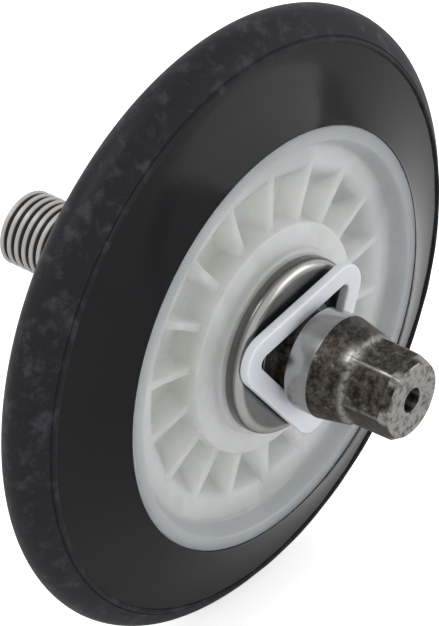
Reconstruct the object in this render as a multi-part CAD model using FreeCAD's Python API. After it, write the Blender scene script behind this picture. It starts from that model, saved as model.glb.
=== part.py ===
import FreeCAD, Part
import math
import os
from FreeCAD import Vector

# Dryer drum roller: a rubber tyred nylon wheel that turns on its own steel axle.
# Sizes are in millimetres. The axle lies along Y and the drum rides on the wheel from above (+Z).
# The origin is the centre of the shoulder where the threaded stud leaves the axle.
# The stud points to +Y, and the hexagon that a spanner holds points to -Y.

# Axle: one turned bar
bar_diameter = 13.0
stud_diameter = 10.0
stud_length = 18.0
stud_chamfer = 1.0
spacer_length = 4.9
collar_diameter = 19.0
collar_width = 3.0
groove_diameter = 10.4
land_width = 3.2
land_edge = 0.15
raw_length = 4.0
raw_end_diameter = 11.4
hex_across_flats = 9.5
hex_draft = 0.1
hex_length = 6.65
hex_run_out = 0.9
hex_corner_angle = 3.0
end_face_diameter = 9.4
end_chamfer_depth = 1.1
centre_hole_diameter = 3.1
centre_hole_depth = 4.0

# Thrust washers: pressed steel, with a rolled outer edge on the side away from the hub
washer_diameter = 22.6
washer_thickness = 1.9
washer_roll = 1.05
washer_roll_steps = 2
washer_clearance = 0.1
axial_play = 0.3

# Retaining clip: a flat triangular plastic ring that snaps into the groove
clip_thickness = 1.3
clip_leg_width = 2.5
clip_corner_radius = 3.4
clip_inner_corner_radius = 1.0
clip_tilt = 99.6
clip_grip_clearance = 0.05
clip_setback = 0.5
clip_room = 1.25
groove_margin = 0.05

# Hub: moulded nylon, with a dish and a ring of pockets in front, and cored out behind
hub_diameter = 54.3
hub_width = 14.2
bore_clearance = 0.05
pad_margin = 0.6
boss_diameter = 29.8
boss_step = 1.0
dish_depth = 2.1
rim_land = 1.7
rim_slope = 1.1
pocket_depth = 3.3
pocket_bottom_diameter = 38.0
pocket_mouth_diameter = 42.8
web_thickness = 2.3
rear_boss_wall = 5.6
rim_wall = 3.1
rib_count = 18
rib_offset_angle = 9.5
front_rib_width = 1.7
rear_rib_width = 1.5
rear_rib_setback = 1.2
rib_root = 0.6

# Tyre: rubber moulded on the rim, with a thin bead where the two mould halves met the tread
tread_diameter = 80.0
crown_width = 3.4
crown_drop = 0.58
crown_steps = 2
bead_diameter = 73.2
bead_setback = 3.35
bead_height = 0.3
bead_width = 0.5
sidewall_hollow = 0.28
sidewall_steps = 2

# Stations along Y, counted from the shoulder towards the hexagon
collar_rear_y = -spacer_length
collar_front_y = collar_rear_y - collar_width
rear_washer_front_y = collar_front_y - washer_thickness
hub_rear_y = rear_washer_front_y - axial_play
hub_front_y = hub_rear_y - hub_width
wheel_mid_y = (hub_rear_y + hub_front_y) / 2
front_washer_rear_y = hub_front_y - axial_play
front_washer_front_y = front_washer_rear_y - washer_thickness
groove_rear_y = front_washer_front_y - groove_margin
clip_rear_y = front_washer_front_y - clip_setback
clip_front_y = clip_rear_y - clip_thickness
groove_front_y = clip_front_y - clip_room
land_front_y = groove_front_y - land_width
hex_rear_y = land_front_y - raw_length
end_y = hex_rear_y - hex_length

# Radii that several pieces share
bar_radius = bar_diameter / 2
groove_radius = groove_diameter / 2
raw_end_radius = raw_end_diameter / 2
bore_radius = bar_radius + bore_clearance
washer_bore_radius = bar_radius + washer_clearance
washer_radius = washer_diameter / 2
pad_radius = washer_radius + pad_margin
boss_radius = boss_diameter / 2
hub_radius = hub_diameter / 2
rear_boss_radius = bore_radius + rear_boss_wall
rear_rim_radius = hub_radius - rim_wall
pocket_mouth_radius = pocket_mouth_diameter / 2
clip_apothem = groove_radius + clip_grip_clearance

# Depths in the hub that its ribs share
floor_y = hub_front_y + dish_depth
pocket_bottom_y = floor_y + pocket_depth

AXIS = Vector(0, 1, 0)
ORIGIN = Vector(0, 0, 0)


def at(radius, y):
    """A point of a turned profile: its distance from the axle's centre line, and its station."""
    return Vector(radius, y, 0)


def straight(*points):
    """Straight edges through the points of a profile, as (radius, station) pairs."""
    corners = [at(*point) for point in points]
    return [Part.LineSegment(a, b).toShape() for a, b in zip(corners, corners[1:])]


def eased(start, corner, end, steps):
    """Points from start to end on the parabola that both ends leave towards the corner."""
    points = []
    for index in range(steps + 1):
        t = index / steps
        points.append(tuple(
            (1 - t) ** 2 * a + 2 * t * (1 - t) * b + t ** 2 * c
            for a, b, c in zip(start, corner, end)))
    return points


def bowed(start, end, bow, steps):
    """Points from start to end on a shallow curve that stands off its chord by the bow."""
    run = end[0] - start[0]
    rise = end[1] - start[1]
    reach = 2 * bow / math.hypot(run, rise)
    corner = ((start[0] + end[0]) / 2 + reach * rise, (start[1] + end[1]) / 2 - reach * run)
    return eased(start, corner, end, steps)


def turned(edges):
    """The solid that a closed profile sweeps in one turn about the axle's centre line."""
    face = Part.Face(Part.Wire(edges))
    return face.revolve(ORIGIN, AXIS, 360)


def on_circle(radius, angle, y):
    """A point at an angle about the axle, counted from +X towards +Z."""
    a = math.radians(angle)
    return Vector(radius * math.cos(a), y, radius * math.sin(a))


def turn_copies(shape, count, first_angle):
    """Copies of a shape that lies along +X, spread evenly about the axle."""
    copies = []
    for index in range(count):
        copy = shape.copy()
        copy.rotate(ORIGIN, AXIS, -(first_angle + index * 360.0 / count))
        copies.append(copy)
    return copies


def hexagon(apothem, y):
    """A hexagon round the axle with its flats at a distance from the centre line."""
    corner = apothem / math.cos(math.radians(30))
    return Part.makePolygon([on_circle(corner, hex_corner_angle + 60 * k, y) for k in range(7)])


def axle_hexagon():
    """The spanner end: flats with a slight draft, a cone where they run out, a chamfered face."""
    rear_apothem = hex_across_flats / 2 + hex_draft / 2
    front_apothem = hex_across_flats / 2 - hex_draft / 2
    flats = Part.makeLoft([hexagon(rear_apothem, hex_rear_y), hexagon(front_apothem, end_y)], True, True)
    blank = turned(straight(
        (0, hex_rear_y), (raw_end_radius, hex_rear_y),
        (front_apothem / math.cos(math.radians(30)), end_y + end_chamfer_depth),
        (end_face_diameter / 2, end_y), (0, end_y), (0, hex_rear_y)))
    run_out = turned(straight(
        (0, hex_rear_y), (raw_end_radius, hex_rear_y), (front_apothem, hex_rear_y - hex_run_out),
        (0, hex_rear_y - hex_run_out), (0, hex_rear_y)))
    return flats.common(blank).fuse(run_out)


def centre_hole():
    """The lathe centre's drilled hole in the end face, with its coned bottom."""
    radius = centre_hole_diameter / 2
    return turned(straight(
        (0, end_y), (radius, end_y), (radius, end_y + centre_hole_depth),
        (0, end_y + centre_hole_depth + radius / 2), (0, end_y)))


def axle():
    """Stud, shoulder, collar, journal, clip groove, land and tapering raw bar, then the hexagon."""
    stud_radius = stud_diameter / 2
    collar_radius = collar_diameter / 2
    bar = turned(straight(
        (0, stud_length), (stud_radius - stud_chamfer, stud_length),
        (stud_radius, stud_length - stud_chamfer), (stud_radius, 0), (bar_radius, 0),
        (bar_radius, collar_rear_y), (collar_radius, collar_rear_y), (collar_radius, collar_front_y),
        (bar_radius, collar_front_y), (bar_radius, groove_rear_y), (groove_radius, groove_rear_y),
        (groove_radius, groove_front_y), (bar_radius - land_edge, groove_front_y),
        (bar_radius, groove_front_y - land_edge), (bar_radius, land_front_y),
        (raw_end_radius, hex_rear_y), (0, hex_rear_y), (0, stud_length)))
    return bar.fuse(axle_hexagon()).cut(centre_hole()).removeSplitter()


def washer(hub_side_y, outward):
    """A thrust washer. outward is -1 for the one in front of the hub and 1 for the one behind."""
    outer_y = hub_side_y + outward * washer_thickness
    roll = eased(
        (washer_radius, outer_y - outward * washer_roll), (washer_radius, outer_y),
        (washer_radius - washer_roll, outer_y), washer_roll_steps)
    return turned(straight(
        (washer_bore_radius, hub_side_y), (washer_radius, hub_side_y), *roll,
        (washer_bore_radius, outer_y), (washer_bore_radius, hub_side_y)))


def rounded_triangle(apothem, corner_radius, y):
    """A face with three equal sides at a distance from the axle and rounded corners."""
    edges = []
    previous = None
    first = None
    for k in range(3):
        corner_angle = clip_tilt + 60 + 120 * k
        centre = on_circle(2 * (apothem - corner_radius), corner_angle, y)
        start = centre + on_circle(corner_radius, corner_angle - 60, 0)
        middle = centre + on_circle(corner_radius, corner_angle, 0)
        end = centre + on_circle(corner_radius, corner_angle + 60, 0)
        if previous is not None:
            edges.append(Part.LineSegment(previous, start).toShape())
        else:
            first = start
        edges.append(Part.Arc(start, middle, end).toShape())
        previous = end
    edges.append(Part.LineSegment(previous, first).toShape())
    return Part.Face(Part.Wire(edges))


def retaining_clip():
    """A flat triangular ring whose three legs sit in the axle's groove."""
    thickness = Vector(0, clip_front_y - clip_rear_y, 0)
    outside = rounded_triangle(clip_apothem + clip_leg_width, clip_corner_radius, clip_rear_y)
    inside = rounded_triangle(clip_apothem, clip_inner_corner_radius, clip_rear_y)
    return outside.extrude(thickness).cut(inside.extrude(thickness))


def hub_blank():
    """The hub's turned form: bore, pads, boss, dish, trough, rim and the deep ring behind."""
    boss_y = hub_front_y + boss_step
    lip_radius = hub_radius - rim_land
    pocket_bottom_radius = pocket_bottom_diameter / 2
    web_outer_rear_y = floor_y + web_thickness
    web_inner_rear_y = pocket_bottom_y + web_thickness
    return turned(straight(
        (bore_radius, hub_front_y), (pad_radius, hub_front_y), (pad_radius, boss_y),
        (boss_radius, boss_y), (boss_radius, pocket_bottom_y),
        (pocket_bottom_radius, pocket_bottom_y), (pocket_mouth_radius, floor_y),
        (lip_radius - rim_slope, floor_y), (lip_radius, hub_front_y), (hub_radius, hub_front_y),
        (hub_radius, hub_rear_y), (rear_rim_radius, hub_rear_y), (rear_rim_radius, web_outer_rear_y),
        (pocket_mouth_radius, web_outer_rear_y), (pocket_mouth_radius, web_inner_rear_y),
        (rear_boss_radius, web_inner_rear_y), (rear_boss_radius, hub_rear_y),
        (bore_radius, hub_rear_y), (bore_radius, hub_front_y)))


def ribs(inner_radius, outer_radius, front_y, rear_y, width):
    """Radial walls in a ring, as long and as deep as given, with their ends sunk in the moulding."""
    rib = Part.makeBox(
        outer_radius - inner_radius, rear_y - front_y, width,
        Vector(inner_radius, front_y, -width / 2))
    return turn_copies(rib, rib_count, rib_offset_angle)


def hub():
    """The nylon wheel centre, one moulding. Its front ribs part the trough into pockets."""
    front_ribs = ribs(
        boss_radius - rib_root, pocket_mouth_radius + rib_root, floor_y,
        pocket_bottom_y + rib_root, front_rib_width)
    rear_ribs = ribs(
        rear_boss_radius - rib_root, rear_rim_radius + rib_root, floor_y + rib_root,
        hub_rear_y - rear_rib_setback, rear_rib_width)
    return hub_blank().multiFuse(front_ribs + rear_ribs).removeSplitter()


def tyre_side(outward):
    """Sidewall, bead and shoulder on one side, from the rim to the crown."""
    edge_y = wheel_mid_y + outward * hub_width / 2
    bead_radius = bead_diameter / 2
    bead_y = edge_y - outward * bead_setback
    crown = (tread_diameter / 2 - crown_drop, wheel_mid_y + outward * crown_width / 2)
    wall_end = (bead_radius - bead_width, bead_y)
    bead_top = (bead_radius, bead_y + outward * bead_height)
    bead_foot = (bead_radius + bead_width / 2, bead_y)
    wall = bowed((hub_radius, edge_y), wall_end, outward * sidewall_hollow, sidewall_steps)
    return wall + [bead_top, bead_foot, crown]


def tyre():
    """The rubber ring, moulded on the hub's rim."""
    front = tyre_side(-1)
    rear = tyre_side(1)
    crown_peak = (tread_diameter / 2 + crown_drop, wheel_mid_y)
    crown = eased(front[-1], crown_peak, rear[-1], crown_steps)
    return turned(straight(*front, *crown[1:-1], *reversed(rear), front[0]))


def front_washer():
    """The washer that shows, between the hub and the clip."""
    return washer(front_washer_rear_y, -1)


def rear_washer():
    """The same washer turned round, between the hub and the collar."""
    return washer(rear_washer_front_y, 1)


PIECES = {
    "axle": axle,
    "front_washer": front_washer,
    "rear_washer": rear_washer,
    "retaining_clip": retaining_clip,
    "hub": hub,
    "tyre": tyre,
}

os.makedirs("parts", exist_ok=True)
for name, make in PIECES.items():
    shape = make()
    if shape.ShapeType != "Solid" and len(shape.Solids) == 1:
        shape = shape.Solids[0]
    shape.exportStep("parts/" + name + ".step")
    box = shape.BoundBox
    print(name, shape.ShapeType, "valid", shape.isValid(), "volume %.1f" % shape.Volume,
          "x %.2f..%.2f y %.2f..%.2f z %.2f..%.2f" % (
              box.XMin, box.XMax, box.YMin, box.YMax, box.ZMin, box.ZMax))
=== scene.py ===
# %% [markdown]
# A drum roller from a tumble dryer: a rubber tyred nylon wheel that turns on a short steel axle.
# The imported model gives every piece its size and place. Each piece is made again here in finer mesh,
# with the fillets, the thread and the mould marks that the solids leave out, and it gets the finish
# of the real one.

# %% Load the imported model
import math

import bmesh
import bpy
import numpy as np
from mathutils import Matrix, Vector


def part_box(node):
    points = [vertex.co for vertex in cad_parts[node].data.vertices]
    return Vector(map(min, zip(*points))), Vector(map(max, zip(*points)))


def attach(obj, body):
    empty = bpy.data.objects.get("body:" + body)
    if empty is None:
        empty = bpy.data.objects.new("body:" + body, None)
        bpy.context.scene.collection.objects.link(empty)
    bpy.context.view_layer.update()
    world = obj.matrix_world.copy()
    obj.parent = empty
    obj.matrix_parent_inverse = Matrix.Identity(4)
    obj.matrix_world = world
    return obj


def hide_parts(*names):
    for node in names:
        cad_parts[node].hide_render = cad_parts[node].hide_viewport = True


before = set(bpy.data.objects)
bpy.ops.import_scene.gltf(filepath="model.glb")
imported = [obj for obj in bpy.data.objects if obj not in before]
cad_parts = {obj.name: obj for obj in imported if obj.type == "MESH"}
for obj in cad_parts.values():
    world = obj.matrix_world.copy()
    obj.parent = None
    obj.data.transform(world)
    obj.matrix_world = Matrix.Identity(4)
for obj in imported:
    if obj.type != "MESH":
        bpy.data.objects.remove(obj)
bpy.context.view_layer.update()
MM = 0.001

# %% [markdown]
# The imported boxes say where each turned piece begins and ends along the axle, which lies along Y
# with its hexagon towards -Y. The sizes inside a piece are named here, in millimetres, as a
# drawing would give them.

# %% Stations along the axle and radii, in millimetres
def span(node):
    """A node's lowest and highest Y, and its outer radius."""
    low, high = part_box(node)
    return low.y / MM, high.y / MM, high.z / MM


axle_front, stud_end, collar_radius = span("axle")
hub_front, hub_rear, hub_radius = span("hub")
tyre_front, tyre_rear, tread_radius = span("tyre")
front_washer_outer, front_washer_inner, washer_radius = span("front_washer")
rear_washer_inner, rear_washer_outer, _ = span("rear_washer")
clip_front, clip_rear, _ = span("retaining_clip")
wheel_middle = (hub_front + hub_rear) / 2
bar_radius = 6.5
groove_radius = 5.2
bore_radius = 6.55
print("hub from %.2f to %.2f, tread radius %.2f" % (hub_front, hub_rear, tread_radius))

# %% [markdown]
# The camera comes first, so that every later render can be laid over the same view. It is a long
# lens from the front left and above, which is how such a spare is usually shown.

# %% Camera
CAMERA_AIM = Vector((-3.2, -17.1, 2.8)) * MM
CAMERA_AZIMUTH = math.radians(-50.47)
CAMERA_ELEVATION = math.radians(33.07)
CAMERA_DISTANCE = 300 * MM
LENS = 143.8

towards_camera = Vector((math.sin(CAMERA_AZIMUTH) * math.cos(CAMERA_ELEVATION),
                         -math.cos(CAMERA_AZIMUTH) * math.cos(CAMERA_ELEVATION),
                         math.sin(CAMERA_ELEVATION)))
camera_data = bpy.data.cameras.new("camera")
camera_data.lens = LENS
camera_data.sensor_width = 36
camera_data.clip_start = 0.01
camera_data.clip_end = 10
camera = bpy.data.objects.new("camera", camera_data)
camera.location = CAMERA_AIM + towards_camera * CAMERA_DISTANCE
camera.rotation_euler = (-towards_camera).to_track_quat("-Z", "Y").to_euler()
bpy.context.scene.collection.objects.link(camera)
bpy.context.scene.camera = camera
print("camera at", [round(value, 4) for value in camera.location])

# %% [markdown]
# Nearly every surface is turned or moulded round the axle, so most pieces are grids of rings: a
# profile gives the rows and the turn gives the columns. A grid of quads keeps its smooth shading and
# needs no clean-up, which a Screw or a Boolean modifier would. The profile's corners are rounded
# first, because no real edge is perfectly sharp and the thin highlights on them sell the material.

# %% Helpers: rounded profiles, rings and clean meshes
def rounded(profile, closed=True, steps=4):
    """The (radius, y) points of a profile whose corners, (radius, y, fillet), are rounded."""
    points = []
    count = len(profile)
    for index, (radius, y, fillet) in enumerate(profile):
        corner = np.array((radius, y), float)
        end_point = not closed and index in (0, count - 1)
        if fillet == 0 or end_point:
            points.append(corner)
            continue
        before = np.array(profile[index - 1][:2]) - corner
        after = np.array(profile[(index + 1) % count][:2]) - corner
        before /= np.linalg.norm(before)
        after /= np.linalg.norm(after)
        half = math.acos(np.clip(before @ after, -1, 1)) / 2
        middle = (before + after) / np.linalg.norm(before + after)
        centre = corner + middle * fillet / math.sin(half)
        start = corner + before * fillet / math.tan(half) - centre
        end = corner + after * fillet / math.tan(half) - centre
        start_angle = math.atan2(start[1], start[0])
        turn = math.remainder(math.atan2(end[1], end[0]) - start_angle, 2 * math.pi)
        for step in range(steps + 1):
            angle = start_angle + turn * step / steps
            points.append(centre + fillet * np.array((math.cos(angle), math.sin(angle))))
    return np.array(points)


def rings(profile, columns, first_angle=0.0):
    """The grid of points that a profile sweeps round the axle, counted from +X towards +Z."""
    angles = math.radians(first_angle) + np.arange(columns) * 2 * math.pi / columns
    radius, y = profile[:, :1], profile[:, 1:]
    return np.stack([radius * np.cos(angles), y + 0 * angles, radius * np.sin(angles)], -1)


def grid_faces(rows, columns, closed_rows, closed_columns):
    """Quads between neighbouring rows and columns of a grid."""
    i = np.arange(rows if closed_rows else rows - 1)[:, None]
    j = np.arange(columns if closed_columns else columns - 1)[None, :]
    next_i = (i + 1) % rows
    next_j = (j + 1) % columns
    quads = [i * columns + j, i * columns + next_j, next_i * columns + next_j, next_i * columns + j]
    return np.stack([quad + 0 * i + 0 * j for quad in quads], -1).reshape(-1, 4)


def soften(mesh, sharp_angle=40):
    """Faces outwards, smooth shading, and sharp edges only where the surface really turns."""
    work = bmesh.new()
    work.from_mesh(mesh)
    bmesh.ops.recalc_face_normals(work, faces=work.faces)
    work.to_mesh(mesh)
    work.free()
    mesh.shade_smooth()
    mesh.set_sharp_from_angle(angle=math.radians(sharp_angle))


def piece_from_grid(name, grid, closed_rows=True, closed_columns=True, poles=()):
    """An object from a grid of points in millimetres. Poles close its first and last rows."""
    rows, columns = grid.shape[:2]
    vertices = (grid.reshape(-1, 3) * MM).tolist()
    faces = grid_faces(rows, columns, closed_rows, closed_columns).tolist()
    for row, pole in zip((0, rows - 1), poles):
        vertices.append([value * MM for value in pole])
        centre = len(vertices) - 1
        faces += [(row * columns + j, row * columns + (j + 1) % columns, centre)
                  for j in range(columns)]
    mesh = bpy.data.meshes.new(name)
    mesh.from_pydata(vertices, [], faces)
    soften(mesh)
    piece = bpy.data.objects.new(name, mesh)
    bpy.context.scene.collection.objects.link(piece)
    print(name, "has", len(mesh.vertices), "points and", len(mesh.polygons), "faces")
    return piece


def uneven(columns, seed, waves, strength):
    """A smooth closed line of small random swells, the same on every run."""
    random = np.random.default_rng(seed)
    angles = np.arange(columns) * 2 * math.pi / columns
    line = sum(random.normal() * np.cos(wave * angles + random.uniform(0, 2 * math.pi))
               for wave in waves)
    return strength * line / math.sqrt(len(waves))


# %% [markdown]
# A finish is a small node tree round one Principled shader. Two helpers keep the trees short: one
# adds a node and wires or sets its sockets by name, the other gives the distance from the axle,
# which many of the patterns follow.

# %% Helpers: finishes
def new_finish(name):
    """A material with its node tree and its Principled shader."""
    material = bpy.data.materials.new(name)
    material.use_nodes = True
    return material, material.node_tree, material.node_tree.nodes["Principled BSDF"]


def add(tree, kind, inputs=None, **settings):
    """A node whose sockets are wired to other sockets or set to values."""
    node = tree.nodes.new(kind)
    for key, value in settings.items():
        setattr(node, key, value)
    wire(tree, node, inputs or {})
    return node


def wire(tree, node, inputs):
    """Wires or sets the sockets of a node."""
    for key, value in inputs.items():
        if isinstance(value, bpy.types.NodeSocket):
            tree.links.new(value, node.inputs[key])
        else:
            node.inputs[key].default_value = value


def math_node(tree, operation, first, second=0.5, clamp=False):
    """The result of one sum on numbers or sockets."""
    node = add(tree, "ShaderNodeMath", {0: first, 1: second}, operation=operation)
    node.use_clamp = clamp
    return node.outputs[0]


def spread(tree, value, low, high, to_low=0.0, to_high=1.0):
    """A value taken from one range to another, smoothly and without leaving it."""
    node = add(tree, "ShaderNodeMapRange", {
        "Value": value, "From Min": low, "From Max": high, "To Min": to_low, "To Max": to_high},
        interpolation_type="SMOOTHSTEP")
    return node.outputs["Result"]


def mixed(tree, factor, first, second):
    """One colour fading into another."""
    node = add(tree, "ShaderNodeMix", data_type="RGBA")
    wire(tree, node, {0: factor, 6: first, 7: second})
    return node.outputs[2]


def places(tree):
    """Object coordinates, their parts, and the distance from the axle, all in metres."""
    point = add(tree, "ShaderNodeTexCoord").outputs["Object"]
    parts = add(tree, "ShaderNodeSeparateXYZ", {0: point}).outputs
    flat = add(tree, "ShaderNodeCombineXYZ", {"X": parts["X"], "Z": parts["Z"]}).outputs[0]
    radius = add(tree, "ShaderNodeVectorMath", {0: flat}, operation="LENGTH").outputs["Value"]
    return point, parts, radius


def noise(tree, vector, scale, detail=3.0, roughness=0.5):
    """Noise at a scale counted in bumps per metre."""
    node = add(tree, "ShaderNodeTexNoise", {
        "Vector": vector, "Scale": scale, "Detail": detail, "Roughness": roughness})
    return node.outputs["Fac"]


def lathe_marks(tree, distance, scale, detail=4.0):
    """Noise along one measure only, as a turning tool leaves it."""
    node = add(tree, "ShaderNodeTexNoise", {"W": distance, "Scale": scale, "Detail": detail},
               noise_dimensions="1D")
    return node.outputs["Fac"]


def bump(tree, height, depth_mm, strength=1.0, normal=None):
    """A bump whose full height is given in millimetres."""
    inputs = {"Height": height, "Distance": depth_mm * MM, "Strength": strength}
    if normal is not None:
        inputs["Normal"] = normal
    return add(tree, "ShaderNodeBump", inputs).outputs["Normal"]


# %% [markdown]
# The tyre is black rubber, moulded on the rim. A mould leaves the sidewalls smooth and glossy. The
# bead and the tread are duller and mottled, because they are ground or have already run on a drum.
# So colour and roughness follow the distance from the axle, and two noises break them up: cloudy
# wiping marks and a fine grain.

# %% Rubber finish
rubber, tree, shader = new_finish("tyre rubber")
point, _, radius = places(tree)
clouds = noise(tree, point, 90, 4)
grain = noise(tree, point, 2600, 2)
tread_share = spread(tree, radius, 36.15 * MM, 36.45 * MM)
specks = spread(tree, noise(tree, point, 420, 5, 0.7), 0.48, 0.72)
dark = mixed(tree, clouds, (0.007, 0.007, 0.008, 1), (0.011, 0.011, 0.013, 1))
tread_tone = mixed(tree, specks, (0.013, 0.013, 0.016, 1), (0.042, 0.039, 0.050, 1))
wire(tree, shader, {
    "Base Color": mixed(tree, tread_share, dark, tread_tone),
    "Roughness": math_node(tree, "ADD", spread(tree, clouds, 0.3, 0.7, 0.08, 0.14),
                           math_node(tree, "MULTIPLY", tread_share, 0.40)),
    "Specular IOR Level": 0.12,
    "Normal": bump(tree, grain, 0.012, 0.5, bump(tree, clouds, 0.05, 0.35))})
print(rubber.name, "has", len(tree.nodes), "nodes")

# %% [markdown]
# The tyre's section is a shallow hollow sidewall, a thin bead where the mould halves met the tread,
# a nearly straight flank and a narrow crown. A modeller could carve the bead, but here it is only
# a few rows of the grid. The bead is never perfect on the real one, so its height wanders a little.

# %% Tyre
BEAD_RADIUS = 36.6
BEAD_HEIGHT = 0.3
BEAD_HALF_WIDTH = 0.28
BEAD_SETBACK = 3.35
BEAD_SINK = 0.08
BEAD_WANDER = 0.035
SIDEWALL_HOLLOW = 0.28
CROWN_HALF_WIDTH = 1.7
CROWN_DROP = 0.58
TYRE_COLUMNS = 288

half_width = (tyre_rear - tyre_front) / 2
bead_depth = half_width - BEAD_SETBACK


def tyre_half():
    """(radius, distance from the middle plane) from the rim to the crown's peak, and bead rows."""
    points = [(hub_radius, half_width - 0.25), (hub_radius + 0.12, half_width - 0.04)]
    foot = BEAD_RADIUS - BEAD_HALF_WIDTH
    for t in np.linspace(0.03, 1, 16):
        sag = 4 * SIDEWALL_HOLLOW * t * (1 - t)
        points.append((hub_radius + (foot - hub_radius) * t,
                       half_width + (bead_depth - half_width) * t - sag))
    first_bead_row = len(points)
    for angle in np.linspace(150, 30, 7):
        lift = math.sin(math.radians(angle)) * BEAD_HEIGHT
        points.append((BEAD_RADIUS + BEAD_HALF_WIDTH * math.cos(math.radians(angle)),
                       bead_depth + lift - BEAD_SINK))
    last_bead_row = len(points)
    points.append((BEAD_RADIUS + 0.32, bead_depth - 0.26))
    points.append((BEAD_RADIUS + 0.44, bead_depth - 0.30))
    points.append((BEAD_RADIUS + 0.58, bead_depth - 0.24))
    crown_edge = (tread_radius - CROWN_DROP, CROWN_HALF_WIDTH)
    start = (BEAD_RADIUS + 0.62, bead_depth - 0.30)
    for t in np.linspace(0.06, 0.9, 9):
        swell = 0.5 * t * (1 - t)
        points.append((start[0] + (crown_edge[0] - start[0]) * t + swell * 0.8,
                       start[1] + (crown_edge[1] - start[1]) * t + swell * 0.6))
    for across in np.linspace(CROWN_HALF_WIDTH - 0.12, 0, 8):
        points.append((tread_radius - CROWN_DROP * (across / CROWN_HALF_WIDTH) ** 2, across))
    return np.array(points), range(first_bead_row, last_bead_row)


half, bead_rows = tyre_half()
front_half = np.stack([half[:, 0], wheel_middle - half[:, 1]], -1)
rear_half = np.stack([half[:, 0], wheel_middle + half[:, 1]], -1)[::-1][1:]
tyre_profile = np.concatenate([front_half, rear_half])
tyre_grid = rings(tyre_profile, TYRE_COLUMNS)
wander = uneven(TYRE_COLUMNS, 11, (2, 3, 5, 9, 17, 31, 47, 71), BEAD_WANDER)
for row in bead_rows:
    share = (half[row, 1] - bead_depth + BEAD_SINK) / BEAD_HEIGHT
    tyre_grid[row, :, 1] -= wander * share
    tyre_grid[len(tyre_profile) - 1 - row, :, 1] += wander * share
tyre = piece_from_grid("rubber_tyre", tyre_grid)
tyre.data.materials.append(rubber)

# %% [markdown]
# The hub is natural nylon: milky, a little green in its depth, and frosted by the mould. Light
# enters it and comes out again some millimetres away, which is why its edges glow and its pockets
# are never black. Random walk subsurface scattering does just that, and a share of transmission
# lets some light pass from the cells behind. The melt leaves cloudy flow marks in the outer zone.
# The rim is painted greyer as painted shade, where the black rubber behind it swallows light in
# the nylon. A very fine grain stops the moulding from looking like wax.

# %% Nylon finish
nylon, tree, shader = new_finish("frosted nylon")
point, _, radius = places(tree)
clouds = noise(tree, point, 110, 3)
grain = noise(tree, point, 3200, 2)
milk = mixed(tree, spread(tree, clouds, 0.38, 0.62), (0.78, 0.81, 0.76, 1), (0.93, 0.94, 0.92, 1))
flow_marks = spread(tree, noise(tree, point, 75, 2, 0.4), 0.46, 0.60, 0.0, 0.45)
flow_marks = math_node(tree, "MULTIPLY", flow_marks, spread(tree, radius, 18 * MM, 22 * MM))
# flow marks, and the rim near the rubber painted grey-blue as painted shade
flow_marks_and_painted_rim_shade = math_node(tree, "MAXIMUM", flow_marks,
                        spread(tree, radius, 23.4 * MM, 25.6 * MM, 0.0, 0.8))
wire(tree, shader, {
    "Base Color": mixed(tree, flow_marks_and_painted_rim_shade, milk, (0.38, 0.43, 0.46, 1)),
    "Roughness": spread(tree, clouds, 0.3, 0.7, 0.30, 0.42),
    "IOR": 1.5,
    "Subsurface Weight": 1.0,
    "Subsurface Radius": (1.0, 1.0, 0.85),
    "Subsurface Scale": 0.010,
    "Transmission Weight": 0.3,
    "Normal": bump(tree, grain, 0.01, 0.5, bump(tree, clouds, 0.08, 0.5))})
print(nylon.name, "scatters over", shader.inputs["Subsurface Scale"].default_value / MM, "mm")

# %% [markdown]
# The hub is one moulding: a bore, a raised boss, a dish with a ring of eighteen pockets between
# ribs, a lip, and deep cells behind. The same twenty degrees repeat all the way round, so one sector
# is modelled with care and Geometry Nodes turn it eighteen times. Ribs added to a turned body and
# joined by a Boolean would leave hard, ragged seams, and the light that wanders inside the nylon
# would stop at every hidden face. In the sector each row has two places, one on a rib and one in a
# pocket, and the columns fade from the first to the second down the rib's side.

# %% Hub sector
RIB_COUNT = 18
RIB_OFFSET_ANGLE = 9.5
FRONT_RIB_HALF = 0.85
REAR_RIB_HALF = 0.75
BOSS_RADIUS = 14.9
BOSS_STEP = 1.0
PAD_RADIUS = 11.9
DISH_DEPTH = 2.1
POCKET_DEPTH = 3.3
WEB = 2.3
POCKET_BOTTOM_RADIUS = 19.0
POCKET_MOUTH_RADIUS = 21.4
POCKET_FOOT_FILLET = 0.9
POCKET_MOUTH_FILLET = 2.2
MOUTH_END_RADIUS = POCKET_MOUTH_RADIUS + 1.4
LIP_RADIUS = hub_radius - 1.7
LIP_SLOPE = 1.1
REAR_BOSS_RADIUS = 12.15
REAR_RIM_RADIUS = 24.05
REAR_RIB_SETBACK = 1.2
REAR_WALL_TOP = 0.9

floor = hub_front + DISH_DEPTH
pocket_floor = floor + POCKET_DEPTH
web_rear = floor + WEB
inner_web_rear = pocket_floor + WEB


def along(path, count):
    """Points spread evenly over a line of (radius, y) points."""
    path = np.array(path, float)
    lengths = np.concatenate([[0], np.cumsum(np.linalg.norm(np.diff(path, axis=0), axis=1))])
    steps = np.linspace(0, lengths[-1], count)
    return np.stack([np.interp(steps, lengths, path[:, k]) for k in (0, 1)], -1)


def both(path):
    """Rows that are the same on a rib and in a pocket."""
    return np.stack([path, path], 1)


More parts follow.
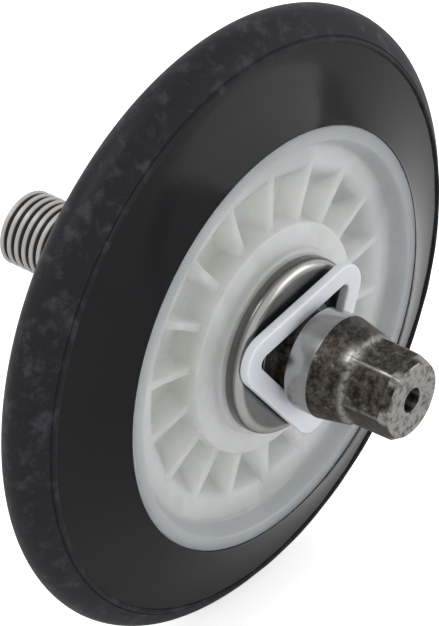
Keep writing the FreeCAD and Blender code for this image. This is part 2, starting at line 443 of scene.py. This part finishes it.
front_rows = rounded([
    (bore_radius, hub_front + 3, 0), (bore_radius, hub_front, 0.35), (PAD_RADIUS, hub_front, 0.25),
    (PAD_RADIUS, hub_front + BOSS_STEP, 0.25), (BOSS_RADIUS, hub_front + BOSS_STEP, 0.3),
    (BOSS_RADIUS, floor, 0)], closed=False)
pocket_line = rounded([
    (BOSS_RADIUS, floor, 0), (BOSS_RADIUS + 0.08, pocket_floor, 0.4),
    (POCKET_BOTTOM_RADIUS, pocket_floor, POCKET_FOOT_FILLET),
    (POCKET_MOUTH_RADIUS, floor, POCKET_MOUTH_FILLET), (MOUTH_END_RADIUS, floor, 0)],
    closed=False, steps=8)
rib_line = along([(BOSS_RADIUS, floor), (MOUTH_END_RADIUS, floor)], 30)
rim_rows = rounded([
    (MOUTH_END_RADIUS + 0.2, floor, 0), (LIP_RADIUS - LIP_SLOPE, floor, 0.5),
    (LIP_RADIUS, hub_front, 0.35),
    (hub_radius, hub_front, 0.15), (hub_radius, hub_rear, 0.15), (REAR_RIM_RADIUS, hub_rear, 0.25),
    (REAR_RIM_RADIUS, hub_rear - 0.8, 0)], closed=False)
rear_pocket_line = rounded([
    (REAR_RIM_RADIUS, hub_rear - REAR_WALL_TOP, 0), (REAR_RIM_RADIUS - 0.1, web_rear, 0.4),
    (POCKET_MOUTH_RADIUS, web_rear, 0.4), (POCKET_MOUTH_RADIUS, inner_web_rear, 0.4),
    (REAR_BOSS_RADIUS + 0.1, inner_web_rear, 0.4),
    (REAR_BOSS_RADIUS, hub_rear - REAR_WALL_TOP, 0)], closed=False)
rear_rib_line = rounded([
    (REAR_RIM_RADIUS, hub_rear - REAR_WALL_TOP, 0),
    (REAR_RIM_RADIUS, hub_rear - REAR_RIB_SETBACK, 0.2),
    (REAR_BOSS_RADIUS, hub_rear - REAR_RIB_SETBACK, 0.2),
    (REAR_BOSS_RADIUS, hub_rear - REAR_WALL_TOP, 0)], closed=False)
rear_rows = rounded([
    (REAR_BOSS_RADIUS, hub_rear - 0.8, 0), (REAR_BOSS_RADIUS, hub_rear, 0.25),
    (bore_radius, hub_rear, 0.35), (bore_radius, hub_rear - 3, 0)], closed=False)

ROWS_ON_A_WALL = 34
hub_rows = np.concatenate([
    both(front_rows[:-1]),
    np.stack([along(rib_line, ROWS_ON_A_WALL), along(pocket_line, ROWS_ON_A_WALL)], 1),
    both(rim_rows),
    np.stack([along(rear_rib_line, ROWS_ON_A_WALL), along(rear_pocket_line, ROWS_ON_A_WALL)], 1),
    both(rear_rows)])
print("hub sector has", len(hub_rows), "rows")

# %% [markdown]
# Across the rib, each column is given by its distance from the rib's centre line in units of the
# rib's half width, and by how far down it lies. The sides slope, as a mould needs, so a rib is
# narrow on top and has its full width at its foot. The last columns reach the middle of the
# pocket, where the next sector takes over.

# %% Hub columns
rib_columns = [(0.0, 0.0), (0.26, 0.0), (0.4, 0.006), (0.5, 0.03), (0.56, 0.09), (0.62, 0.22),
               (0.7, 0.42), (0.8, 0.66), (0.9, 0.85), (1.02, 0.95), (1.2, 0.99), (1.42, 1.0)]
pocket_shares = [0.3, 0.65, 1.0]
sector_half_angle = math.pi / RIB_COUNT
half_width_of_row = np.interp(hub_rows[:, 0, 1], (hub_front + 3, hub_rear - 3),
                              (FRONT_RIB_HALF, REAR_RIB_HALF))


def hub_column(across, down, share):
    """One line of points from the bore's front to its rear, at one side of the rib."""
    line = hub_rows[:, 0] + (hub_rows[:, 1] - hub_rows[:, 0]) * down
    radius = line[:, 0]
    edge = np.arcsin(across * half_width_of_row / radius)
    angle = edge + (sector_half_angle - edge) * share
    return radius, line[:, 1], angle


half_sector = [hub_column(across, down, 0.0) for across, down in rib_columns]
half_sector += [hub_column(rib_columns[-1][0], 1.0, share) for share in pocket_shares]
columns = [(r, y, -a) for r, y, a in half_sector[:0:-1]] + half_sector
first_angle = math.radians(RIB_OFFSET_ANGLE)
sector_grid = np.stack([
    np.stack([r * np.cos(first_angle + a), y, r * np.sin(first_angle + a)], -1)
    for r, y, a in columns], 1)
hub = piece_from_grid("hub_moulding", sector_grid, closed_rows=True, closed_columns=False)

# %% [markdown]
# The tree below takes the sector and gives the whole ring. It makes a row of points in one place,
# puts a copy on each with its own turn about the axle, makes the copies real, and welds the seams.

# %% Helpers: Geometry Nodes
def new_tree(name, sizes):
    """A geometry tree with named inputs for its sizes."""
    tree = bpy.data.node_groups.new(name, "GeometryNodeTree")
    tree.interface.new_socket("Geometry", in_out="INPUT", socket_type="NodeSocketGeometry")
    for label, value in sizes.items():
        kind = "NodeSocketInt" if isinstance(value, int) else "NodeSocketFloat"
        tree.interface.new_socket(label, in_out="INPUT", socket_type=kind)
    tree.interface.new_socket("Geometry", in_out="OUTPUT", socket_type="NodeSocketGeometry")
    return tree, tree.nodes.new("NodeGroupInput").outputs


def close_tree(tree, geometry, material):
    """Real geometry with its material, at the tree's output."""
    real = add(tree, "GeometryNodeRealizeInstances", {"Geometry": geometry})
    finished = add(tree, "GeometryNodeSetMaterial", {
        "Geometry": real.outputs[0], "Material": material})
    add(tree, "NodeGroupOutput", {"Geometry": finished.outputs[0]})


def grow(piece, tree, sizes, sharp_angle=40):
    """Runs a tree on a piece and keeps the result as its plain mesh."""
    modifier = piece.modifiers.new(tree.name, "NODES")
    modifier.node_group = tree
    for socket in tree.interface.items_tree:
        if socket.in_out == "INPUT" and socket.name in sizes:
            modifier[socket.identifier] = sizes[socket.name]
    bpy.context.view_layer.update()
    seen = piece.evaluated_get(bpy.context.evaluated_depsgraph_get())
    grown = bpy.data.meshes.new_from_object(seen)
    piece.modifiers.remove(modifier)
    piece.data = grown
    grown.name = piece.name
    soften(grown, sharp_angle)
    print(piece.name, "grew to", len(grown.vertices), "points and", len(grown.polygons), "faces")


# %% Turn the hub sector
sector_sizes = {"Copies": RIB_COUNT, "Weld Distance": 0.002 * MM}
tree, given = new_tree("turn a sector", sector_sizes)
spots = add(tree, "GeometryNodeMeshLine", {"Count": given["Copies"], "Offset": (0, 0, 0)})
step = add(tree, "ShaderNodeMath", {0: 2 * math.pi, 1: given["Copies"]}, operation="DIVIDE")
turn = add(tree, "ShaderNodeMath", {
    0: add(tree, "GeometryNodeInputIndex").outputs[0], 1: step.outputs[0]}, operation="MULTIPLY")
rotation = add(tree, "ShaderNodeCombineXYZ", {"Y": turn.outputs[0]})
copies = add(tree, "GeometryNodeInstanceOnPoints", {
    "Points": spots.outputs[0], "Instance": given["Geometry"], "Rotation": rotation.outputs[0]})
real = add(tree, "GeometryNodeRealizeInstances", {"Geometry": copies.outputs[0]})
welded = add(tree, "GeometryNodeMergeByDistance", {
    "Geometry": real.outputs[0], "Distance": given["Weld Distance"]})
close_tree(tree, welded.outputs[0], nylon)
grow(hub, tree, sector_sizes)
open_edges = sum(1 for edge in np.bincount(
    np.array([loop.edge_index for loop in hub.data.loops])) if edge != 2)
print("edges of the hub that don't join two faces:", open_edges)

# %% [markdown]
# The thrust washers are pressed from bright steel sheet and their outer edge is rolled over. The
# flat face is painted dark as a painted reflection, the roll is painted bright as a painted
# highlight, and the outer side is given a darker tone, so the colour follows the distance from the
# axle. Stains break up the face and the roll. They rub on the nylon and carry fine rings round the
# bore. A noise read along that same distance gives rings that no stretched picture could keep even.

# %% Washer steel
washer_steel, tree, shader = new_finish("rolled washer steel")
point, _, radius = places(tree)
ring_marks = lathe_marks(tree, radius, 9000)
stain = noise(tree, point, 260, 4, 0.6)
# painted dark reflection on the flat face, broken up by stains
face_stain_and_painted_dark_reflection = mixed(tree, stain, (0.09, 0.088, 0.09, 1), (0.18, 0.176, 0.178, 1))
# painted highlight on the rolled edge, broken up by stains
roll_stain_and_painted_highlight = mixed(tree, stain, (0.30, 0.293, 0.28, 1), (0.44, 0.432, 0.418, 1))
on_roll = spread(tree, radius, 9.9 * MM, 10.5 * MM)
# the outer side is given a darker tone
outer_side_share = spread(tree, radius, 11.05 * MM, 11.22 * MM, 0.0, 0.8)
tone = mixed(tree, outer_side_share, mixed(tree, on_roll, face_stain_and_painted_dark_reflection, roll_stain_and_painted_highlight), (0.11, 0.107, 0.103, 1))
wire(tree, shader, {
    "Base Color": tone,
    "Metallic": 1.0,
    "Roughness": spread(tree, stain, 0.3, 0.7, 0.15, 0.26),
    "Normal": bump(tree, ring_marks, 0.006, 0.5, bump(tree, stain, 0.02, 0.4))})
print(washer_steel.name, "has", len(tree.nodes), "nodes")

# %% Thrust washers
WASHER_BORE = 6.6
WASHER_ROLL = 1.05
WASHER_COLUMNS = 192


def washer(name, hub_side, outer_side):
    """A washer whose outer edge is rolled on the side away from the hub."""
    profile = rounded([
        (WASHER_BORE, hub_side, 0.15), (washer_radius, hub_side, 0.15),
        (washer_radius, outer_side, WASHER_ROLL), (WASHER_BORE, outer_side, 0.2)], steps=7)
    piece = piece_from_grid(name, rings(profile, WASHER_COLUMNS))
    piece.data.materials.append(washer_steel)
    return piece


front_washer = washer("front_thrust_washer", front_washer_inner, front_washer_outer)
rear_washer = washer("rear_thrust_washer", rear_washer_inner, rear_washer_outer)

# %% [markdown]
# The retaining clip is a flat white plastic ring in the form of a rounded triangle. It is sprung
# over the axle's end, and its three legs sit in the groove. A curve with a bevel would round it into
# a tube, so it is a grid again: the rows run round the triangle and the columns round the flat
# section, whose edges are broken by a small radius.

# %% Clip plastic
clip_plastic, tree, shader = new_finish("white clip plastic")
point, _, _ = places(tree)
clouds = noise(tree, point, 300, 3)
wire(tree, shader, {
    "Base Color": mixed(tree, clouds, (0.66, 0.69, 0.73, 1), (0.73, 0.76, 0.80, 1)),
    "Roughness": spread(tree, clouds, 0.3, 0.7, 0.3, 0.42),
    "Subsurface Weight": 0.6,
    "Subsurface Radius": (1.0, 0.95, 0.9),
    "Subsurface Scale": 0.0006,
    "Normal": bump(tree, clouds, 0.03, 0.4)})

# %% Retaining clip
CLIP_INNER_APOTHEM = 5.25
CLIP_LEG_WIDTH = 2.5
CLIP_OUTER_CORNER = 3.4
CLIP_INNER_CORNER = 1.0
CLIP_TILT = 99.6
CLIP_EDGE = 0.22
CORNER_STEPS = 18
SIDE_STEPS = 8


def triangle_line(apothem, corner_radius):
    """Points round a triangle with rounded corners, the same count for any size."""
    corners = []
    for k in range(3):
        out = math.radians(CLIP_TILT + 60 + 120 * k)
        centre = 2 * (apothem - corner_radius) * np.array((math.cos(out), math.sin(out)))
        turn = out + np.radians(np.linspace(-60, 60, CORNER_STEPS + 1))
        corners.append(centre + corner_radius * np.stack([np.cos(turn), np.sin(turn)], -1))
    line = []
    for k in range(3):
        line.append(corners[k])
        shares = np.linspace(0, 1, SIDE_STEPS + 2)[1:-1, None]
        line.append(corners[k][-1] * (1 - shares) + corners[(k + 1) % 3][0] * shares)
    return np.concatenate(line)


outer_line = triangle_line(CLIP_INNER_APOTHEM + CLIP_LEG_WIDTH, CLIP_OUTER_CORNER)
inner_line = triangle_line(CLIP_INNER_APOTHEM, CLIP_INNER_CORNER)
leg = np.linalg.norm(outer_line - inner_line, axis=1)
outward = (outer_line - inner_line) / leg[:, None]
section = rounded([(0, clip_front, CLIP_EDGE), (1, clip_front, CLIP_EDGE),
                   (1, clip_rear, CLIP_EDGE), (0, clip_rear, CLIP_EDGE)], steps=4)
clip_grid = []
for step, (share, y) in enumerate(section):
    from_edge = share if share < 0.5 else share - 1
    across = inner_line + outward * from_edge if share < 0.5 else outer_line + outward * from_edge
    clip_grid.append(np.stack([across[:, 0], np.full(len(across), y), across[:, 1]], -1))
clip = piece_from_grid("clip_ring", np.array(clip_grid))
clip.data.materials.append(clip_plastic)

# %% [markdown]
# The axle is one turned bar, and the lathe has left it in several states. The journal and the
# narrow land in front of the groove are cut bright. The groove is given the dark raw finish as
# painted shade. The stretch between the land and the hexagon is still the dark skin of the raw
# bar, and so are the flats, apart from scuffs and the worn corners.
# Three finishes are made: turned steel, raw steel, which also serves as the groove's painted
# shade, and threaded steel.

# %% Turned steel
turned_steel, tree, shader = new_finish("turned steel")
point, parts, _ = places(tree)
tool_marks = lathe_marks(tree, parts["Y"], 7000)
stain = noise(tree, point, 320, 4, 0.6)
wire(tree, shader, {
    "Base Color": mixed(tree, stain, (0.34, 0.337, 0.337, 1), (0.52, 0.516, 0.52, 1)),
    "Metallic": 1.0,
    "Roughness": spread(tree, stain, 0.3, 0.7, 0.16, 0.26),
    "Normal": bump(tree, tool_marks, 0.008, 0.5, bump(tree, stain, 0.02, 0.3))})

# %% Raw steel, also the groove's painted shade
raw_steel_and_groove_shade, tree, shader = new_finish("raw dark steel and groove shade")
point, _, _ = places(tree)
mottle = noise(tree, point, 1100, 6, 0.72)
along_bar = add(tree, "ShaderNodeMapping", {"Vector": point, "Scale": (1.0, 0.25, 1.0)})
streaks = noise(tree, along_bar.outputs[0], 1500, 3, 0.6)
skin = mixed(tree, spread(tree, mottle, 0.38, 0.66),
             (0.008, 0.0065, 0.006, 1), (0.085, 0.071, 0.057, 1))
worn = add(tree, "ShaderNodeAttribute", attribute_name="worn").outputs["Fac"]
scuffed = math_node(tree, "MULTIPLY", spread(tree, streaks, 0.50, 0.66), 0.9)
bare = math_node(tree, "MULTIPLY", worn, spread(tree, streaks, 0.34, 0.56, 0.25, 1.0))
scuffed = math_node(tree, "MULTIPLY", scuffed, spread(tree, mottle, 0.55, 0.8))
bare = math_node(tree, "ADD", bare, scuffed, True)
wire(tree, shader, {
    "Base Color": mixed(tree, bare, skin, (0.62, 0.60, 0.57, 1)),
    "Metallic": spread(tree, bare, 0.0, 0.6, 0.35, 1.0),
    "Roughness": spread(tree, mottle, 0.3, 0.7, 0.34, 0.50),
    "Specular IOR Level": 0.2,
    "Normal": bump(tree, mottle, 0.04, 0.6, bump(tree, streaks, 0.015, 0.4))})

# %% Threaded steel
threaded_steel, tree, shader = new_finish("threaded steel")
point, _, radius = places(tree)
mottle = noise(tree, point, 1200, 4, 0.6)
# the roots and flanks are painted dark as painted shade, the crests lighter
crest_over_painted_root_shade = spread(tree, radius, 4.82 * MM, 4.97 * MM)
wire(tree, shader, {
    "Base Color": mixed(tree, crest_over_painted_root_shade, (0.025, 0.021, 0.018, 1), (0.44, 0.433, 0.426, 1)),
    "Metallic": 1.0,
    "Roughness": spread(tree, mottle, 0.3, 0.7, 0.26, 0.42),
    "Normal": bump(tree, mottle, 0.02, 0.5)})
print("axle finishes:", turned_steel.name, raw_steel_and_groove_shade.name, threaded_steel.name)

# %% [markdown]
# The bar is a grid of rings whose radius may change with the angle. On the turned stretches it is
# the same all round. On the hexagon it is the smaller of the bar and the six flats, and a power mean
# takes the place of the plain minimum, so that the corners come out slightly rounded. The same mean
# joins the flats to the cone where they run out and to the chamfer at the end.

# %% Axle bar
ROOT_RADIUS = 4.233
RELIEF_RADIUS = 4.0
RAW_END_RADIUS = 5.7
HEX_FRONT_APOTHEM = 4.7
HEX_REAR_APOTHEM = 4.8
HEX_CORNER_ANGLE = 3.0
HEX_RUN_OUT = 0.9
END_FACE_RADIUS = 4.7
END_CHAMFER = 1.1
HOLE_RADIUS = 1.55
HOLE_DEPTH = 4.0
BAR_COLUMNS = 240
CORNER_POWER = 80
CHAMFER_POWER = 140
RUN_OUT_POWER = 60
WASHER_CLEARANCE = 0.05
CLIP_ROOM = 1.25
LAND_WIDTH = 3.2
RAW_LENGTH = 4.0
COLLAR_REAR = -4.9
COLLAR_FRONT = -7.9

groove_rear = front_washer_outer - WASHER_CLEARANCE
groove_front = clip_front - CLIP_ROOM
land_front = groove_front - LAND_WIDTH
hex_rear = land_front - RAW_LENGTH
print("land ends at %.2f, hexagon from %.2f to %.2f" % (land_front, hex_rear, axle_front))

turned_profile = rounded([
    (0.6, stud_end, 0), (3.5, stud_end, 0.25), (ROOT_RADIUS, stud_end - 0.8, 0.2),
    (ROOT_RADIUS, 1.9, 0.2), (RELIEF_RADIUS, 1.6, 0.2), (RELIEF_RADIUS, 0, 0.25),
    (bar_radius, 0, 0.3), (bar_radius, COLLAR_REAR, 0.2), (collar_radius, COLLAR_REAR, 0.3),
    (collar_radius, COLLAR_FRONT, 0.2), (bar_radius, COLLAR_FRONT, 0.2),
    (bar_radius, groove_rear, 0.12),
    (groove_radius, groove_rear, 0.15), (groove_radius, groove_front, 0.15),
    (bar_radius, groove_front, 0.15), (bar_radius, land_front, 0.12),
    (RAW_END_RADIUS + 0.02, hex_rear + 0.1, 0)], closed=False)
raw_rows = np.linspace(land_front - 0.2, hex_rear + 0.2, 10)
raw_radii = np.interp(raw_rows, (hex_rear, land_front), (RAW_END_RADIUS, bar_radius))
turned_profile = np.concatenate([turned_profile[:-1], np.stack([raw_radii, raw_rows], -1)])
hex_rows = np.concatenate([
    np.linspace(hex_rear, hex_rear - HEX_RUN_OUT - 0.3, 22),
    np.linspace(hex_rear - HEX_RUN_OUT - 0.5, axle_front + END_CHAMFER + 0.5, 12),
    np.linspace(axle_front + END_CHAMFER + 0.3, axle_front + 0.06, 20)])
face_profile = rounded([
    (END_FACE_RADIUS, axle_front + 0.06, 0), (END_FACE_RADIUS - 0.12, axle_front, 0.1),
    (HOLE_RADIUS, axle_front, 0.12), (HOLE_RADIUS, axle_front + HOLE_DEPTH, 0.1),
    (0.2, axle_front + HOLE_DEPTH + 0.7, 0)], closed=False)[1:]
bar_angles = math.radians(HEX_CORNER_ANGLE) + np.arange(BAR_COLUMNS) * 2 * math.pi / BAR_COLUMNS


def power_mean(first, second, power):
    """Close to the larger for a positive power and to the smaller for a negative one."""
    return (first ** power + second ** power) ** (1 / power)


def hexagon_radius(y):
    """The bar's radius at every angle for one station of the hexagon."""
    apothem = np.interp(y, (axle_front, hex_rear), (HEX_FRONT_APOTHEM, HEX_REAR_APOTHEM))
    flats = math.radians(HEX_CORNER_ANGLE + 30) + np.arange(6) * math.pi / 3
    facing = np.maximum(np.cos(bar_angles[:, None] - flats[None, :]), 0)
    flat_radius = apothem / np.sum(facing ** CORNER_POWER, axis=1) ** (1 / CORNER_POWER)
    corner = HEX_FRONT_APOTHEM / math.cos(math.pi / 6)
    blank = np.interp(y, (axle_front, axle_front + END_CHAMFER, hex_rear),
                      (END_FACE_RADIUS, corner, RAW_END_RADIUS))
    cone = RAW_END_RADIUS + (y - hex_rear) * (RAW_END_RADIUS - HEX_FRONT_APOTHEM) / HEX_RUN_OUT
    cut = power_mean(flat_radius, blank, -CHAMFER_POWER)
    return np.minimum(power_mean(cut, np.maximum(cone, 0.5), RUN_OUT_POWER), RAW_END_RADIUS)


bar_grid = [rings(turned_profile, BAR_COLUMNS, HEX_CORNER_ANGLE)]
hex_radii = np.array([hexagon_radius(y) for y in hex_rows])
bar_grid.append(np.stack([hex_radii * np.cos(bar_angles), hex_rows[:, None] + 0 * bar_angles,
                          hex_radii * np.sin(bar_angles)], -1))
bar_grid.append(rings(face_profile, BAR_COLUMNS, HEX_CORNER_ANGLE))
bar_grid = np.concatenate(bar_grid)
axle_bar = piece_from_grid(
    "axle_bar", bar_grid, closed_rows=False,
    poles=((0, stud_end, 0), (0, axle_front + HOLE_DEPTH + 0.8, 0)))

# %% [markdown]
# The worn places are easier to place by the bar's own stations and angles than by nodes, so they
# are written into the mesh as an attribute that the raw steel reads: along each corner of the
# hexagon, more on some than on others, on the chamfer, over the end face, where the flats run out,
# and as one scuff where a tool has slipped off the upper corner.

# %% Worn edges and the bar's three finishes
from_corner = np.abs((np.degrees(bar_angles) - HEX_CORNER_ANGLE + 30) % 60 - 30)
points = np.empty(len(axle_bar.data.vertices) * 3)
axle_bar.data.vertices.foreach_get("co", points)
points = points.reshape(-1, 3) / MM
corner_distance = np.tile(from_corner, len(bar_grid))
corner_distance = np.concatenate([corner_distance, [30, 30]])
station = points[:, 1]
distance = np.hypot(points[:, 0], points[:, 2])
on_hexagon = station < hex_rear - 0.1
on_chamfer = (station < axle_front + END_CHAMFER) & (station > axle_front + 0.01)
point_angle = np.degrees(np.arctan2(points[:, 2], points[:, 0])) % 360
WORN_CORNER_DEGREES = 1.6
CHAMFER_WEAR = 0.4
FACE_WEAR = 0.45
RUN_OUT_WEAR = 0.35
SCUFF_WEAR = 0.75
SCUFF_FROM_FIRST_CORNER = 117
SCUFF_DEGREES = 13
SCUFF_LENGTH = 0.75
wear_of_corner = np.array([0.5, 0.5, 1.0, 0.3, 0.7, 0.5])
nearest = np.rint((point_angle - HEX_CORNER_ANGLE) / 60).astype(int) % 6
worn = np.where(on_hexagon & (station > axle_front + 0.03) & (distance > 4.4),
                wear_of_corner[nearest] * np.exp(-(corner_distance / WORN_CORNER_DEGREES) ** 2), 0)
scuff_angle = HEX_CORNER_ANGLE + SCUFF_FROM_FIRST_CORNER
from_scuff = (point_angle - scuff_angle + 180) % 360 - 180
scuff = SCUFF_WEAR * np.exp(-(from_scuff / SCUFF_DEGREES) ** 2
                            - ((station - hex_rear + 0.1) / SCUFF_LENGTH) ** 2)
run_out_wear = RUN_OUT_WEAR * np.exp(-((station - hex_rear + 0.3) / 0.3) ** 2)
worn = np.maximum(worn, np.where(distance > 4.4, np.maximum(scuff, run_out_wear), 0))
chamfer_wear = CHAMFER_WEAR * np.exp(-(corner_distance / 11) ** 4)
worn = np.maximum(worn, np.where(on_chamfer, chamfer_wear, 0))
on_face = (station < axle_front + 0.08) & (distance > HOLE_RADIUS - 0.01)
worn = np.where(on_face, FACE_WEAR, worn)
worn_attribute = axle_bar.data.attributes.new("worn", "FLOAT", "POINT")
worn_attribute.data.foreach_set("value", worn.astype(np.float32))
for finish in (turned_steel, raw_steel_and_groove_shade, threaded_steel):
    axle_bar.data.materials.append(finish)
for face in axle_bar.data.polygons:
    y = face.center.y / MM
    # the groove takes the dark raw finish as painted shade
    in_groove_painted_shade = groove_front + 0.02 < y < groove_rear - 0.02
    raw = y < land_front - 0.02 or in_groove_painted_shade
    face.material_index = 2 if y > 0.05 else 1 if raw else 0
print("worn share of the bar's points: %.3f" % float((worn > 0.3).mean()))

# %% [markdown]
# The stud carries a right-hand M10 thread with a pitch of 1.25 mm. Pressed into a grid of straight
# rings the crests would come out ragged, so the ridge follows its own path: a spiral curve with a
# trapezoid swept along it, laid on a core of the root diameter. The tree fades the section at both
# ends, as a die leaves it.

# %% Thread
THREAD_START = 1.55
thread_sizes = {"Pitch": 1.25 * MM, "Root Radius": ROOT_RADIUS * MM, "Depth": 0.767 * MM,
                "Sunk": 0.12 * MM, "Length": 15.9 * MM, "Steps per Turn": 120, "Fade": 0.035}
tree, given = new_tree("cut a thread", thread_sizes)
turns = add(tree, "ShaderNodeMath", {0: given["Length"], 1: given["Pitch"]}, operation="DIVIDE")
height = add(tree, "ShaderNodeMath", {0: given["Depth"], 1: given["Sunk"]}, operation="ADD")
middle = add(tree, "ShaderNodeMath", {0: height.outputs[0], 1: 0.5}, operation="MULTIPLY")
middle = add(tree, "ShaderNodeMath", {0: middle.outputs[0], 1: given["Sunk"]}, operation="SUBTRACT")
sweep_radius = add(tree, "ShaderNodeMath", {
    0: given["Root Radius"], 1: middle.outputs[0]}, operation="ADD")
spiral = add(tree, "GeometryNodeCurveSpiral", {
    "Resolution": given["Steps per Turn"], "Rotations": turns.outputs[0],
    "Start Radius": sweep_radius.outputs[0], "End Radius": sweep_radius.outputs[0],
    "Height": given["Length"], "Reverse": False})
level = add(tree, "GeometryNodeSetCurveNormal", {"Curve": spiral.outputs[0]}, mode="Z_UP")
where = add(tree, "GeometryNodeSplineParameter").outputs["Factor"]
start_fade = add(tree, "ShaderNodeMapRange", {
    "Value": where, "From Min": 0.0, "From Max": given["Fade"], "To Min": 0.15, "To Max": 1.0})
to_end = add(tree, "ShaderNodeMath", {0: 1.0, 1: where}, operation="SUBTRACT")
end_fade = add(tree, "ShaderNodeMapRange", {
    "Value": to_end.outputs[0], "From Min": 0.0, "From Max": given["Fade"], "To Min": 0.15,
    "To Max": 1.0})
fade = add(tree, "ShaderNodeMath", {0: start_fade.outputs[0], 1: end_fade.outputs[0]},
           operation="MINIMUM")
faded = add(tree, "GeometryNodeSetCurveRadius", {
    "Curve": level.outputs[0], "Radius": fade.outputs[0]})
crest_width = add(tree, "ShaderNodeMath", {0: given["Pitch"], 1: 0.13}, operation="MULTIPLY")
foot_width = add(tree, "ShaderNodeMath", {0: given["Pitch"], 1: 0.92}, operation="MULTIPLY")
section = add(tree, "GeometryNodeCurvePrimitiveQuadrilateral", {
    "Height": height.outputs[0], "Bottom Width": foot_width.outputs[0],
    "Top Width": crest_width.outputs[0], "Offset": 0.0}, mode="TRAPEZOID")
ridge = add(tree, "GeometryNodeCurveToMesh", {
    "Curve": faded.outputs[0], "Profile Curve": section.outputs[0], "Fill Caps": True})
laid = add(tree, "GeometryNodeTransform", {
    "Geometry": ridge.outputs[0], "Rotation": (-math.pi / 2, 0, 0),
    "Translation": (0, THREAD_START * MM, 0)})
close_tree(tree, laid.outputs[0], threaded_steel)
axle_thread = bpy.data.objects.new("axle_thread", bpy.data.meshes.new("axle_thread"))
bpy.context.scene.collection.objects.link(axle_thread)
grow(axle_thread, tree, thread_sizes, 25)

# %% [markdown]
# The stage is a plain pale floor under the wheel and a white world. The lamps are large and soft,
# and they light the object at a plain level. The world is pure white only for the camera, for
# reflections and for light that passes through, and the floor is lifted to white only for the
# camera. So the background costs no light on the object, and the floor keeps its shadow.

# %% Floor and world
mesh = bpy.data.meshes.new("floor")
FLOOR_HALF = 1.5
FLOOR_LIFT = 0.6
WORLD_LIGHT = 0.78
floor_z = -tread_radius * MM
mesh.from_pydata([(-FLOOR_HALF, -FLOOR_HALF, floor_z), (FLOOR_HALF, -FLOOR_HALF, floor_z),
                  (FLOOR_HALF, FLOOR_HALF, floor_z), (-FLOOR_HALF, FLOOR_HALF, floor_z)],
                 [], [(0, 1, 2, 3)])
stage_floor = bpy.data.objects.new("floor", mesh)
bpy.context.scene.collection.objects.link(stage_floor)
pale, tree, shader = new_finish("pale floor")
seen = add(tree, "ShaderNodeLightPath").outputs["Is Camera Ray"]
wire(tree, shader, {"Base Color": (0.86, 0.86, 0.86, 1), "Roughness": 0.9,
                    "Emission Color": (1, 1, 1, 1),
                    "Emission Strength": math_node(tree, "MULTIPLY", seen, FLOOR_LIFT)})
stage_floor.data.materials.append(pale)

world = bpy.data.worlds.new("world")
bpy.context.scene.world = world
world.use_nodes = True
tree = world.node_tree
background = tree.nodes["Background"]
rays = add(tree, "ShaderNodeLightPath").outputs
seen = math_node(tree, "MAXIMUM", rays["Is Camera Ray"], rays["Is Glossy Ray"])
seen = math_node(tree, "MAXIMUM", seen, rays["Is Transmission Ray"])
strength = add(tree, "ShaderNodeMapRange", {"Value": seen, "To Min": WORLD_LIGHT, "To Max": 1.0})
wire(tree, background, {"Color": (1, 1, 1, 1), "Strength": strength.outputs["Result"]})
print("the world lights the object at", WORLD_LIGHT)

# %% Lamps
LAMP_AIM = Vector((0, -0.02, 0))


def lamp(name, place, size, watts):
    """A square soft lamp that faces the wheel."""
    data = bpy.data.lights.new(name, "AREA")
    data.size = size
    data.energy = watts
    holder = bpy.data.objects.new(name, data)
    holder.location = place
    holder.rotation_euler = (Vector(place) - LAMP_AIM).to_track_quat("Z", "Y").to_euler()
    bpy.context.scene.collection.objects.link(holder)


lamp("key", (-0.30, 0.10, 0.55), 0.30, 1.7)
lamp("front", (0.31, -0.40, 0.11), 0.30, 0.55)
bpy.context.scene.view_settings.view_transform = "Standard"

# %% [markdown]
# Each piece is now hung on the body it rides on, and the imported node that it stands for is
# hidden. The table also names the material slot of the record that its finish belongs to.

# %% Bodies, nodes and slots
PLACES = (
    (axle_bar, "axle_set", "axle", "axle_steel"),
    (axle_thread, "axle_set", "axle", "axle_steel"),
    (front_washer, "axle_set", "front_washer", "washer_steel"),
    (rear_washer, "axle_set", "rear_washer", "washer_steel"),
    (clip, "axle_set", "retaining_clip", "clip_plastic"),
    (hub, "wheel", "hub", "hub_nylon"),
    (tyre, "wheel", "tyre", "tyre_rubber"))
for piece, body, node, slot in PLACES:
    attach(piece, body)
    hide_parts(node)
print(len(PLACES), "pieces placed")
